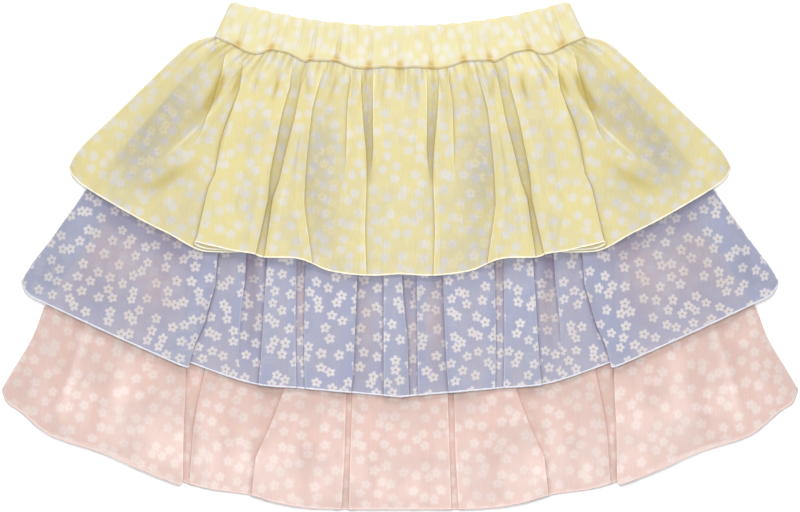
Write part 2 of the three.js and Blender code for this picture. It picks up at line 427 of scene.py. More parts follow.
def close_sides(front, name):
    """Brings the side edges of a front panel down to meet the back panel's."""
    x, y, z = np.moveaxis(front, 2, 0)
    index = nesting.index(name)
    joined = 1 - soft((half_width(name, y) - np.abs(x)) / side_roll)
    front[:, :, 2] = mix(z, back_level(index, x, y) + back_base + 0.1, joined)


def grid_faces(rows, columns, closed=False):
    """Faces of a grid of points, given row by row, that look up when the rows run down the panel."""
    last = columns if closed else columns - 1
    return [
        (j * columns + i, (j + 1) * columns + i,
         (j + 1) * columns + (i + 1) % columns, j * columns + (i + 1) % columns)
        for j in range(rows - 1)
        for i in range(last)
    ]


def cloth_places(piece, places, shade, near=None):
    """Gives each point its place on the cloth, in centimetres, as a UV map, its shade, and how near
    the layer behind it lies."""
    mesh = piece.data
    layer = mesh.uv_layers.new(name="cloth")
    corners = np.empty(len(mesh.loops), np.int32)
    mesh.loops.foreach_get("vertex_index", corners)
    layer.uv.foreach_set("vector", places.reshape(-1, 2)[corners].astype(np.float32).ravel())
    for label, values in (("shade", shade), ("near", shade * 0 if near is None else near)):
        kept = mesh.attributes.new(label, "FLOAT", "POINT")
        kept.data.foreach_set("value", values.astype(np.float32).ravel())


def cut_places(points, spare, start):
    """Where each point of a panel lies on the cloth, in centimetres. The print runs on undistorted
    outside the pleats, and each pleat takes up its width of cloth."""
    return np.stack([points[:, :, 0] + spare + start[0], points[:, :, 1] + start[1]], 2) / 10


shortest_step = 0.45  # between two places along a hem
sides = 8  # of the ring round a hem
inset = 0.3  # how far a hem lies in from the cloth's edge, for each of its half widths


def hem_edge(name, points, wide, thick, material):
    """A flat rolled or overlocked edge round the last row of a panel."""
    path = points[-1]
    keep = [0]
    for i in range(1, len(path)):
        if np.linalg.norm(path[i] - path[keep[-1]]) > shortest_step:
            keep.append(i)
    path = path[keep]
    outward = path - points[-3][keep]
    outward[:, 2] *= 0.3
    outward /= np.linalg.norm(outward, axis=1)[:, None]
    run = np.gradient(path, axis=0)
    run /= np.linalg.norm(run, axis=1)[:, None] + 1e-9
    flat_up = np.cross(run, outward)
    flat_up /= np.linalg.norm(flat_up, axis=1)[:, None] + 1e-9
    lengths = np.hstack([0, np.cumsum(np.linalg.norm(np.diff(path, axis=0), axis=1))])
    roll = 0.12 * np.sin(lengths / 2.3) + 0.08 * np.sin(lengths / 0.9 + 1)
    rings, places = [], []
    for k in range(sides):
        turn = 2 * math.pi * k / sides
        reach = (0.5 * wide * (math.cos(turn) * (1 + roll) - inset))[:, None]
        rings.append(path + outward * reach + flat_up * 0.5 * thick * math.sin(turn))
        places.append(np.stack([lengths / 10, np.full(len(path), k * wide / sides / 5)], 1))
    ring = np.stack(rings, 1)
    ring[:, :, 2] = np.maximum(ring[:, :, 2], 0.02)
    count = len(path)
    faces = grid_faces(count, sides, closed=True)
    faces += [tuple(range(sides))[::-1], tuple((count - 1) * sides + k for k in range(sides))]
    edge = mesh_piece(name, ring.reshape(-1, 3), faces, material)
    cloth_places(edge, np.stack(places, 1), np.zeros(count * sides))
    return edge


def panel_piece(tier, face, pleats, down, per_mm, start, finish, closeness=(), **laid):
    """The cloth of one panel: its piece and its points. `start` is where it was cut out of the cloth,
    and `closeness` is creases that say where the layer behind lies near."""
    if face == "front":
        rows = pleated_rows(tier, pleats, down, per_mm, smoothing=4)
        points, shade, spare = lay_panel(tier, rows, down, front_level, front_base, **laid)
        close_sides(points, tier)
    else:
        rows = pleated_rows(tier, pleats, down, per_mm, smoothing=3)
        points, shade, spare = lay_panel(tier, rows, down, back_level, back_base, shorter=1.5, **laid)
    faces = grid_faces(*points.shape[:2])
    piece = mesh_piece(f"{tier}_tier_{face}_voile", points.reshape(-1, 3), faces, finish)
    _, near = creased(closeness, points[:, :, 0], points[:, :, 1])
    cloth_places(piece, cut_places(points, spare, start), shade, ramp(near))
    return piece, points


def declare_panel(piece, hem):
    """Attaches a panel and its hem to the root, and hides the part that they stand for."""
    node = piece.name.removesuffix("_voile")
    for cloth in (piece, hem):
        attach(cloth, "root")
        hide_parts(node)


# ---------------------------------------------------------------------------
# The cloth of all three tiers: voile, a plain weave of fine crepe yarn. Its print is a small flower of
# five blunt petals with a dark eye, strewn all over, and some of them touch in pairs.
def group_of(name, inputs, outputs):
    """An empty shader node group with number, vector or colour sockets."""
    tree = bpy.data.node_groups.new(name, "ShaderNodeTree")
    for label, kind, value in inputs:
        socket = tree.interface.new_socket(label, in_out="INPUT", socket_type=kind)
        if value is not None:
            socket.default_value = value
    for label, kind in outputs:
        tree.interface.new_socket(label, in_out="OUTPUT", socket_type=kind)
    return tree, tree.nodes.new("NodeGroupInput"), tree.nodes.new("NodeGroupOutput")


def put(tree, kind, sources=(), **settings):
    """A node with its settings, and its inputs taken from sockets or plain values in order."""
    node = tree.nodes.new(kind)
    for key, value in settings.items():
        setattr(node, key, value)
    for key, source in sources.items() if isinstance(sources, dict) else enumerate(sources):
        if isinstance(source, bpy.types.NodeSocket):
            tree.links.new(source, node.inputs[key])
        elif source is not None:
            node.inputs[key].default_value = source
    return node


def sum_of(tree, operation, *sources):
    """The result of a Math node."""
    return put(tree, "ShaderNodeMath", sources, operation=operation).outputs[0]


def vector_of(tree, operation, *sources):
    """The result of a Vector Math node."""
    return put(tree, "ShaderNodeVectorMath", sources, operation=operation).outputs[0]


def fade_of(tree, value, low, high):
    """0 at low, 1 at high, eased."""
    node = put(
        tree, "ShaderNodeMapRange", {"Value": value, "From Min": low, "From Max": high},
        interpolation_type="SMOOTHSTEP",
    )
    return node.outputs[0]


FLOAT, VECTOR = "NodeSocketFloat", "NodeSocketVector"
petal_count = 5
eye_radius = 0.72
flower, given, wanted = group_of(
    "one_flower",
    [("From Eye", VECTOR, None), ("Turn", FLOAT, 0.0), ("Radius", FLOAT, 3.9), ("Blur", FLOAT, 0.5),
     ("Notch", FLOAT, 0.17)],
    [("Petals", FLOAT), ("Eye", FLOAT)],
)
xyz = put(flower, "ShaderNodeSeparateXYZ", [given.outputs["From Eye"]])
angle = sum_of(flower, "ARCTAN2", xyz.outputs[1], xyz.outputs[0])
angle = sum_of(flower, "ADD", angle, given.outputs["Turn"])
lobes = sum_of(flower, "SINE", sum_of(flower, "MULTIPLY", angle, float(petal_count)))
tips = sum_of(flower, "COSINE", sum_of(flower, "MULTIPLY", angle, 2.0 * petal_count))
blunt = sum_of(flower, "MULTIPLY_ADD", tips, 0.27, lobes)
reach = sum_of(flower, "MULTIPLY_ADD", blunt, given.outputs["Notch"], 0.80)
reach = sum_of(flower, "MULTIPLY", reach, given.outputs["Radius"])
out = put(flower, "ShaderNodeVectorMath", [given.outputs["From Eye"]], operation="LENGTH").outputs["Value"]
short = sum_of(flower, "DIVIDE", sum_of(flower, "SUBTRACT", reach, out), given.outputs["Blur"])
flower.links.new(fade_of(flower, short, -1.0, 1.0), wanted.inputs["Petals"])
eye = sum_of(flower, "DIVIDE", sum_of(flower, "SUBTRACT", eye_radius, out), given.outputs["Blur"])
flower.links.new(fade_of(flower, eye, -0.8, 0.8), wanted.inputs["Eye"])

print_group, given, wanted = group_of(
    "flower_print",
    [("Cloth", VECTOR, None), ("Spacing", FLOAT, 9.6), ("Radius", FLOAT, 3.9), ("Blur", FLOAT, 0.5),
     ("Notch", FLOAT, 0.17)],
    [("Petals", FLOAT), ("Eye", FLOAT)],
)
lean = math.radians(27)
flat = put(print_group, "ShaderNodeVectorRotate", {"Vector": given.outputs["Cloth"], "Angle": lean})
stir = put(print_group, "ShaderNodeTexNoise", {"Vector": flat.outputs[0], "Scale": 0.021, "Detail": 1.0})
moved = vector_of(print_group, "MULTIPLY_ADD", stir.outputs["Color"], (7.0, 7.0, 0.0), flat.outputs[0])
counted = vector_of(print_group, "DIVIDE", moved, given.outputs["Spacing"])
found = []
for feature in ("F1", "F2"):
    cell = put(
        print_group, "ShaderNodeTexVoronoi", {"Vector": counted, "Scale": 1.0, "Randomness": 0.68},
        voronoi_dimensions="2D", feature=feature,
    )
    away = vector_of(print_group, "SUBTRACT", counted, cell.outputs["Position"])
    away = vector_of(print_group, "MULTIPLY", away, given.outputs["Spacing"])
    tint = put(print_group, "ShaderNodeSeparateColor", [cell.outputs["Color"]])
    turn = sum_of(print_group, "MULTIPLY_ADD", tint.outputs[0], 0.5, -lean - 0.25)
    one = put(print_group, "ShaderNodeGroup", node_tree=flower)
    for key, source in (("From Eye", away), ("Turn", turn)):
        print_group.links.new(source, one.inputs[key])
    for key in ("Radius", "Blur", "Notch"):
        print_group.links.new(given.outputs[key], one.inputs[key])
    found.append(one)
for key in ("Petals", "Eye"):
    both = sum_of(print_group, "MAXIMUM", found[0].outputs[key], found[1].outputs[key])
    print_group.links.new(both, wanted.inputs[key])

weave, given, wanted = group_of(
    "voile_weave",
    [("Cloth", VECTOR, None), ("Yarn Gap", FLOAT, 0.42)],
    [("Height", FLOAT), ("Slub", FLOAT), ("Cloud", FLOAT)],
)
xyz = put(weave, "ShaderNodeSeparateXYZ", [given.outputs["Cloth"]])
turns = sum_of(weave, "DIVIDE", 2 * math.pi, given.outputs["Yarn Gap"])
yarns = [sum_of(weave, "SINE", sum_of(weave, "MULTIPLY", xyz.outputs[k], turns)) for k in (0, 1)]
crepe = put(weave, "ShaderNodeTexNoise", {"Vector": given.outputs["Cloth"], "Scale": 0.9, "Detail": 3.0})
height = sum_of(weave, "MULTIPLY_ADD", sum_of(weave, "ADD", *yarns), 0.12, crepe.outputs["Fac"])
weave.links.new(height, wanted.inputs["Height"])
stretched = vector_of(weave, "MULTIPLY", given.outputs["Cloth"], (1.3, 0.09, 1.0))
slub = put(weave, "ShaderNodeTexNoise", {"Vector": stretched, "Scale": 1.0, "Detail": 2.0})
weave.links.new(slub.outputs["Fac"], wanted.inputs["Slub"])
cloud = put(weave, "ShaderNodeTexNoise", {"Vector": given.outputs["Cloth"], "Scale": 0.03, "Detail": 2.0})
weave.links.new(cloud.outputs["Fac"], wanted.inputs["Cloud"])


def blend_to(tree, colour, other, share):
    """A colour socket that goes over to another colour by a share."""
    node = put(tree, "ShaderNodeMix", data_type="RGBA")
    for key, source in (("A", colour), ("B", other), ("Factor", share)):
        if isinstance(source, bpy.types.NodeSocket):
            tree.links.new(source, node.inputs[key])
        else:
            node.inputs[key].default_value = (*source, 1) if key != "Factor" else source
    return node.outputs["Result"]


shadow_gain, light_gain = 0.62, 0.9  # how fully the shade of a fold takes the colour of shadow or light
fold_solid, near_clear = 0.3, 0.34  # how much more a fold hides, and how much less cloth that lies close


def voile(name, ground, deep, shadow, light, petal, eye, blur, notch, solid, petal_solid, contact, radius):
    """Printed voile. Its ground is cloudy from `ground` to `deep`. The shade attribute paints `shadow` colour
    into folds and creases as painted shade, and `light` colour along rims and ridges as painted highlight.
    `solid` is how much the ground hides of what is behind it, `petal_solid` how much the petals do, and
    `contact` how much that wanders. Blur, notch and radius are of the printed petals."""
    material, tree, shader = finish_of(name, ground, 0.82)
    places = put(tree, "ShaderNodeUVMap", uv_map="cloth")
    cloth = vector_of(tree, "MULTIPLY", places.outputs[0], (10.0, 10.0, 0.0))  # in millimetres
    woven = put(tree, "ShaderNodeGroup", node_tree=weave)
    tree.links.new(cloth, woven.inputs["Cloth"])
    printed = put(tree, "ShaderNodeGroup", node_tree=print_group)
    tree.links.new(cloth, printed.inputs["Cloth"])
    printed.inputs["Blur"].default_value = blur
    printed.inputs["Notch"].default_value = notch
    printed.inputs["Radius"].default_value = radius
    cloudy = fade_of(tree, woven.outputs["Cloud"], 0.35, 0.65)
    base = blend_to(tree, ground, deep, cloudy)
    flowered = blend_to(tree, base, petal, printed.outputs["Petals"])
    eyed = blend_to(tree, flowered, eye, sum_of(tree, "MULTIPLY", printed.outputs["Eye"], 0.8))
    # Painted shade and painted highlight: the shade attribute mixes in the shadow colour where it is over 0
    # and the light colour where it is below 0.
    shade = put(tree, "ShaderNodeAttribute", attribute_name="shade").outputs["Fac"]
    dark, painted_highlight = (
        put(tree, "ShaderNodeMath", [shade, gain], operation="MULTIPLY", use_clamp=True).outputs[0]
        for gain in (shadow_gain, -light_gain)
    )
    shaded = blend_to(tree, eyed, shadow, dark)
    shaded = blend_to(tree, shaded, light, painted_highlight)
    slubbed = put(tree, "ShaderNodeHueSaturation")
    tree.links.new(shaded, slubbed.inputs["Color"])
    tree.links.new(sum_of(tree, "MULTIPLY_ADD", woven.outputs["Slub"], 0.16, 0.92), slubbed.inputs["Value"])
    tree.links.new(slubbed.outputs[0], shader.inputs["Base Color"])
    hides = sum_of(tree, "MULTIPLY_ADD", printed.outputs["Petals"], petal_solid - solid, solid - contact / 2)
    hides = sum_of(tree, "MULTIPLY_ADD", cloudy, contact, hides)
    near = put(tree, "ShaderNodeAttribute", attribute_name="near").outputs["Fac"]
    hides = sum_of(tree, "MULTIPLY_ADD", near, -near_clear, hides)
    hides = sum_of(tree, "MULTIPLY_ADD", dark, fold_solid, hides)
    hides = sum_of(tree, "MULTIPLY_ADD", painted_highlight, fold_solid, hides)
    tree.links.new(sum_of(tree, "MINIMUM", hides, 1.0), shader.inputs["Alpha"])
    rough = sum_of(tree, "MULTIPLY_ADD", woven.outputs["Slub"], 0.2, 0.72)
    tree.links.new(rough, shader.inputs["Roughness"])
    bump = put(tree, "ShaderNodeBump", {"Strength": 0.35, "Distance": 0.0003})
    tree.links.new(woven.outputs["Height"], bump.inputs["Height"])
    tree.links.new(bump.outputs[0], shader.inputs["Normal"])
    shader.inputs["Sheen Weight"].default_value = 0.12
    shader.inputs["Sheen Roughness"].default_value = 0.5
    shader.inputs["Specular IOR Level"].default_value = 0.2
    return material


def edge_thread(name, colour, painted_groove_shade):
    """Close overlock or rolled-hem thread: fine slanting turns across the edge, with painted shade in the
    hollows between the turns.
    """
    material, tree, shader = finish_of(name, colour, 0.6)
    places = put(tree, "ShaderNodeUVMap", uv_map="cloth")
    split = put(tree, "ShaderNodeSeparateXYZ", [places.outputs[0]])
    slant = sum_of(tree, "MULTIPLY_ADD", split.outputs[1], 0.6, split.outputs[0])
    turns = sum_of(tree, "SINE", sum_of(tree, "MULTIPLY", slant, 2 * math.pi * 10 / 0.7))
    # Painted shade in the hollows between the turns of thread.
    deep = fade_of(tree, turns, 0.1, -0.9)
    tree.links.new(blend_to(tree, colour, painted_groove_shade, deep), shader.inputs["Base Color"])
    bump = put(tree, "ShaderNodeBump", {"Strength": 0.6, "Distance": 0.0002})
    tree.links.new(turns, bump.inputs["Height"])
    tree.links.new(bump.outputs[0], shader.inputs["Normal"])
    shader.inputs["Sheen Weight"].default_value = 0.2
    return material


def back_folds(pleats, shift):
    """The low folds of a back panel: as those of its front, a little to one side."""
    return [
        {**fold, "path": [(x * shift, y) for x, y in fold["path"]], "height": 0.55, "lift": 0, "dark": 1.0}
        for fold in pleats
    ]


# ---------------------------------------------------------------------------
# The bottom tier: two panels of pink voile with a fine rolled hem, innermost and longest. They are
# gathered into the waist seam under the other tiers, and lie on each other.
pink = voile(
    "pink_voile", ground=(0.66, 0.49, 0.445), deep=(0.64, 0.46, 0.415), shadow=(0.52, 0.32, 0.27),
    light=(0.74, 0.63, 0.59), petal=(0.655, 0.56, 0.525), eye=(0.62, 0.485, 0.45), blur=1.5,
    notch=0.11, solid=0.72, petal_solid=0.78, contact=0.2, radius=3.6,
)
bottom_left = [
    pleat(-1, [(-138, 0), (-138.4, -66), (-139, -87), (-140.4, -110), (-141, -143.6)],
          (2, 6, 12, 14), 2.3, lift=-3),
    pleat(1, [(-118, -30), (-127, -75.4), (-132, -96.8), (-135, -113), (-137, -145)],
          (2, 6, 8, 3), 1.6, wane=0.85, end=1.2),
    pleat(1, [(-68, -30), (-76, -87), (-80.6, -100), (-85.8, -113), (-94.3, -131), (-97, -155)],
          (2, 6, 12, 12), 2.4),
    pleat(-1, [(-34, -60), (-36, -130), (-38, -164)], (1, 3, 5), 1.6, start=0.3, full=0.9),
    pleat(1, [(-30, -60), (-32.5, -130), (-33.5, -164)], (1, 3, 5), 1.6, start=0.3, full=0.9),
]
bottom_pleats = [*bottom_left, *mirrored(bottom_left)]
bottom_down = np.linspace(0, 1, 96)  # the rows of points, as shares of the length
bottom_back_voile, bottom_back = panel_piece(
    "bottom", "back", back_folds(bottom_pleats, 0.93), bottom_down, 0.3, (1310, 420), pink,
    seed=11, wave=0.3,
)

# Creases of the front panel: troughs and ridges with painted shade along them, and painted highlight where
# the shade is below 0.
bottom_creases_left = [
    crease([(-206, -28), (-213, -48), (-220, -72), (-228, -97)], 4.5, -0.9, 0.55),
    crease([(-200, -34), (-207, -56), (-214, -80), (-221, -108)], 3.0, 0.7, -0.35),
    crease([(-238, -60), (-243, -78), (-249, -96)], 5, -0.4, 0.18),
    crease([(-190, -52), (-195, -90), (-201, -118)], 4, -0.5, 0.38),
    crease([(-178, -56), (-182, -90), (-186, -122)], 6, 0.4, -0.25),
    crease([(-163, -62), (-164, -80), (-165, -98)], 3.5, -0.5, 0.45),
    crease([(-131, -70), (-134, -100), (-136, -140)], 3, 0, 0.5),
    crease([(-83, -84), (-88, -105), (-95, -130)], 4, 0, 0.55),
    crease([(-108, -84), (-112, -112), (-115, -148)], 5, -0.5, 0.34),
    crease([(-58, -90), (-60, -120), (-63, -158)], 5, -0.5, 0.36),
    crease([(-17, -92), (-17, -120), (-18, -160)], 4, -0.4, 0.3),
]
# Painted shadow just under the middle tier's hem, and a broad band of painted light farther down the pink.
under_middle_hem = [
    (-240, -32), (-195, -51), (-162, -64), (-137, -75), (-97, -88), (-65, -92), (-32, -94), (0, -97),
]
below_middle_hem = [(x, y - 52) for x, y in under_middle_hem]
bottom_creases_left += [crease(under_middle_hem, 5, 0, 0.15), crease(below_middle_hem, 22, 0, -0.40)]
bottom_creases = [*bottom_creases_left, *mirrored(bottom_creases_left)]
bottom_front_voile, bottom_front = panel_piece(
    "bottom", "front", bottom_pleats, bottom_down, 0.6, (3120, 2210), pink,
    seed=12, wave=0.5, creases=bottom_creases,
)

pink_thread = edge_thread("pink_rolled_hem", (0.78, 0.62, 0.58), (0.62, 0.44, 0.41))
bottom_back_hem = hem_edge("bottom_tier_back_hem", bottom_back, 0.9, 0.3, pink_thread)
bottom_front_hem = hem_edge("bottom_tier_front_hem", bottom_front, 0.9, 0.5, pink_thread)
declare_panel(bottom_back_voile, bottom_back_hem)
declare_panel(
    bottom_front_voile, bottom_front_hem,
)

# ---------------------------------------------------------------------------
# The middle tier: two panels of lilac-blue voile with a white overlocked hem, between the other two.
# The pink shows through it where the layers touch.
blue = voile(
    "blue_voile", ground=(0.35, 0.362, 0.46), deep=(0.30, 0.317, 0.432), shadow=(0.18, 0.15, 0.21),
    light=(0.48, 0.48, 0.58), petal=(0.555, 0.53, 0.545), eye=(0.25, 0.225, 0.225), blur=0.55,
    notch=0.17, solid=0.72, petal_solid=0.80, contact=0.12, radius=3.55,
)
middle_left = [
    pleat(-1, [(-112, 30), (-118.3, -2.6), (-119.5, -18.8), (-123.5, -31.8), (-126.7, -43), (-133, -56),
               (-137.8, -72)], (3, 8, 14), 2.2, lift=-4),
    pleat(-1, [(-98, 30), (-99.4, 0), (-100.7, -18), (-102, -26.6), (-104, -50), (-105, -80)],
          (2, 5, 5), 1.8, wane=0.75, end=1.0),
    pleat(1, [(-84, 30), (-86.5, -4), (-88.4, -28.6), (-89.7, -51.4), (-91, -70.9), (-92, -82)],
          (2, 8, 10), 2.2),
    pleat(-1, [(-66, 30), (-67, -10), (-67, -86)], (2, 6, 6), 0.8, dark=0.6),
    pleat(1, [(-60, 30), (-61.5, -10), (-62, -86)], (2, 6, 6), 0.8, dark=0.6),
    pleat(-1, [(-26, 30), (-27.6, -14.3), (-28.6, -41.6), (-29.9, -70.9), (-31.2, -86)], (3, 9, 9), 2.3),
]
middle_centre = [
    pleat(1, [(-10.4, 30), (-10.7, -20), (-10.7, -91)], (3, 5, 5), 2.2),
    pleat(-1, [(0.5, 30), (1.6, -16), (2.9, -34), (5, -54), (6, -91)], (3, 5, 5), 2.2),
    pleat(1, [(10.4, 30), (10.7, -20), (11.5, -91)], (2, 5, 5), 1.0, dark=0.8),
]
middle_pleats = [*middle_left, *middle_centre, *mirrored(middle_left)]
middle_down = np.linspace(0, 1, 90)
middle_back_voile, middle_back = panel_piece(
    "middle", "back", back_folds(middle_pleats, 0.94), middle_down, 0.3, (2740, 910), blue,
    seed=21, wave=0.3,
)

# Creases of the front panel, with painted shade along them; those of depth 0 are stripes of painted shade
# alone.
middle_creases_left = [
    crease([(-214, 30), (-222, 8), (-232, -12)], 5, -0.5, 0.25),
    crease([(-180, 26), (-192, -4), (-203, -34)], 6, -0.6, 0.22),
    crease([(-150, 12), (-158, -20), (-166, -50)], 5, -0.6, 0.15),
    crease([(-172, 24), (-152, 12), (-137, 3)], 8, 0, 0.75),
    crease([(-206, 42), (-190, 30), (-176, 20)], 6, 0, 0.6),
    crease([(-97, 2), (-97, -8), (-97, -18)], 4.5, 0, 0.8),
    crease([(-122, -14), (-126, -34), (-132, -56)], 3.5, 0, 0.45),
    crease([(-94, 6), (-95.5, -30), (-98, -78)], 4, 0, 0.5),
    crease([(-112, 0), (-114, -30), (-118, -66)], 5, -0.5, 0.2),
    crease([(-64, 4), (-64.5, -10), (-64.5, -24)], 2.5, 0, 0.25),
    crease([(-24, -8), (-25, -30), (-26, -60)], 3, 0, 0.25),
    crease([(-46, -4), (-47, -40), (-49, -80)], 5, -0.5, 0.2),
]
middle_close_left = [
    crease([(-146, 26), (-152, -8), (-164, -48)], 17, 0, 0.75),
    crease([(-178, 26), (-186, -4), (-198, -38)], 17, 0, 0.62),
    crease([(-95.5, 4), (-96, -26), (-97, -56)], 5, 0, 0.8),
    crease([(-64.5, 8), (-64.5, -20), (-64.5, -52)], 4, 0, 1.0),
    crease([(-22, -16), (-23, -50), (-24, -86)], 7, 0, 0.8),
    crease([(-193, 20), (-202, -6), (-210, -30)], 7, 0, 0.35),
    crease([(-220, 0), (-226, -10), (-232, -20)], 8, 0, 0.5),
]
middle_closeness = [
    *middle_close_left, *mirrored(middle_close_left), crease([(7, -20), (8, -88)], 5, 0, 0.7),
]
# Painted shadow on the blue just under the top tier's hem.
under_top_hem = crease(
    [(-212, 44), (-169, 18), (-131, -1), (-97, -3), (-65, -7), (-45, -14), (-21, -17), (0, -16)], 5, 0, 0.4
)
# With a painted dark wedge of shade under the top tier's hem, right of the middle.
middle_creases = [
    *middle_creases_left, crease([(5.5, -12), (7, -22), (9, -32)], 4, 0, 0.9),
    *mirrored(middle_creases_left), under_top_hem, *mirrored([under_top_hem]),
]
middle_front_voile, middle_front = panel_piece(
    "middle", "front", middle_pleats, middle_down, 0.6, (4480, 3320), blue,
    closeness=middle_closeness, seed=22, wave=0.5, creases=middle_creases,
)

blue_thread = edge_thread("white_overlock", (0.69, 0.69, 0.74), (0.46, 0.47, 0.56))
middle_back_hem = hem_edge("middle_tier_back_hem", middle_back, 1.2, 0.4, blue_thread)
middle_front_hem = hem_edge("middle_tier_front_hem", middle_front, 1.15, 0.55, blue_thread)
declare_panel(middle_back_voile, middle_back_hem)
declare_panel(
    middle_front_voile, middle_front_hem,
)

# ---------------------------------------------------------------------------
# The top tier: two panels of yellow voile with a cream rolled hem, outermost and shortest. The seam
# gathers its upper edge into small irregular folds, and a few of them run on as pleats to the hem.
yellow = voile(
    "yellow_voile", ground=(0.62, 0.555, 0.30), deep=(0.60, 0.53, 0.265), shadow=(0.37, 0.295, 0.095),
    light=(0.72, 0.68, 0.48), petal=(0.61, 0.585, 0.535), eye=(0.60, 0.565, 0.48), blur=1.7,
    notch=0.10, solid=0.72, petal_solid=0.68, contact=0.12, radius=3.3,
)
top_left = [
    pleat(1, [(-112, 129), (-113.8, 117), (-121, 95), (-128, 78.6), (-138, 62)],
          (3, 6, 4), 2.6, start=0.02, full=0.12, wane=0.3, end=0.6, dark=3.5),
    pleat(1, [(-101, 124), (-102, 114.4), (-103.7, 105.3), (-108, 94.3), (-112.8, 82.6), (-116.4, 70.9),
              (-119.6, 52.7), (-124.2, 42.9), (-128, 26.7), (-132, 9.8)],
          (4, 14, 17, 19, 33), 3.0, start=0.02, full=0.15, lift=5),
    pleat(-1, [(-69.5, 124), (-71.5, 108), (-76, 91.7), (-80, 72.2), (-83.9, 52.7), (-85.2, 36.4),
               (-89.7, 16.9), (-93, 2.6)], (2, 6, 7, 7), 2.4, start=0.02, full=0.15),
    pleat(1, [(-62, 124), (-64.4, 108), (-68.3, 88.4), (-73.5, 68.9), (-78, 49.4), (-82.6, 36.4),
              (-85.2, 18.2), (-87.8, 0.7)], (2, 6, 7, 7), 2.4, start=0.02, full=0.15),
    pleat(-1, [(-49.5, 124), (-51.4, 114.4), (-56.6, 94.9), (-59.2, 72.2), (-61, 52.7), (-61.8, 33.2),
               (-59.2, 13.7), (-56.6, -3.9)], (2, 6, 7, 7), 2.6, start=0.02, full=0.15),
    pleat(1, [(-32, 121), (-31.9, 113), (-34, 99.5), (-34.5, 85), (-35, 60)],
          (2, 4, 3), 2.2, start=0.01, full=0.08, wane=0.3, end=0.6),
    pleat(-1, [(-25.5, 119), (-25.3, 110.8), (-23.7, 85.8), (-22, 69), (-21.5, 57.4), (-21.4, 49),
               (-22.5, 16.5), (-21.5, -12.4)], (2, 3, 4, 4), 2.3, start=0.01, full=0.1),
    pleat(1, [(-17.2, 119), (-17.6, 108), (-17.8, 86), (-17.5, 69), (-18.4, 57), (-19.6, 49), (-20, 20),
              (-19.5, -12.4)], (3, 8, 6, 3), 2.4, start=0.01, full=0.1, wane=0.40, end=0.56),
]
top_pleats = [*top_left, *mirrored(top_left)]
top_down = np.hstack([np.linspace(0, 0.3, 42, endpoint=False), np.linspace(0.3, 1, 66)])
top_back_voile, top_back = panel_piece(
    "top", "back", back_folds(top_pleats, 0.95), top_down, 0.3, (560, 1730), yellow,
    seed=31, wave=0.25,
)

# Along the seam: the places where the stitching pulls the cloth in hard, and the gathers between them,
# each with its place, depth, reach down the cloth and breadth.
pinches = [-110, -87, -60.5, -43, -21, 0, 21, 43, 60.5, 87, 110]
draw = np.random.default_rng(5)
seam_gathers = [(place, 2.2, 34.0, 1.5) for place in pinches]
place = -118.0
while place < 118:
    seam_gathers.append((place, draw.uniform(0.6, 1.9), draw.uniform(12, 46), draw.uniform(0.8, 1.4)))
    place += draw.uniform(3.0, 7.2)


puff, puff_full, puff_end = 2.0, 12, 62  # how high the gathers stand off, and how far below the seam


def top_gathers(along, fall):
    """The troughs that the seam gathers make, by the place along the seam and the fall below it, with painted
    shade down the troughs and a painted highlight over the cloth just below the seam.
    """
    height, shade = puff * soft(fall / puff_full) * (1 - soft(fall / puff_end)), np.zeros_like(along)
    for place, depth, reach, breadth in seam_gathers:
        trough = np.exp(-(((along - place) / breadth) ** 2)) * (1 - soft(fall / reach))
        height = height - depth * trough
        # Painted shade down each gather's trough, and a sharper stroke of painted shade under the deepest
        # ones.
        line = np.exp(-(((along - place) / (0.6 * breadth)) ** 2)) * (1 - soft(fall / (0.7 * reach)))
        pinch = np.exp(-(((along - place) / 0.6) ** 2)) * (1 - soft((fall - 1) / (0.35 * reach)))
        shade = shade + 0.45 * depth * line + 0.75 * (depth > 1.1) * pinch
    # A painted highlight over the cloth just below the seam.
    shade = shade - 0.22 * (1 - soft(fall / 26))
    return np.maximum(height, -0.5) * soft(fall / (3 * tuck)), shade


wide_stripe = [(-66, 118), (-70, 98), (-76, 74), (-82, 48), (-86, 20), (-90, 4)]
short_stripe = [(-21.5, 114), (-21, 86), (-20, 64), (-20.5, 48)]
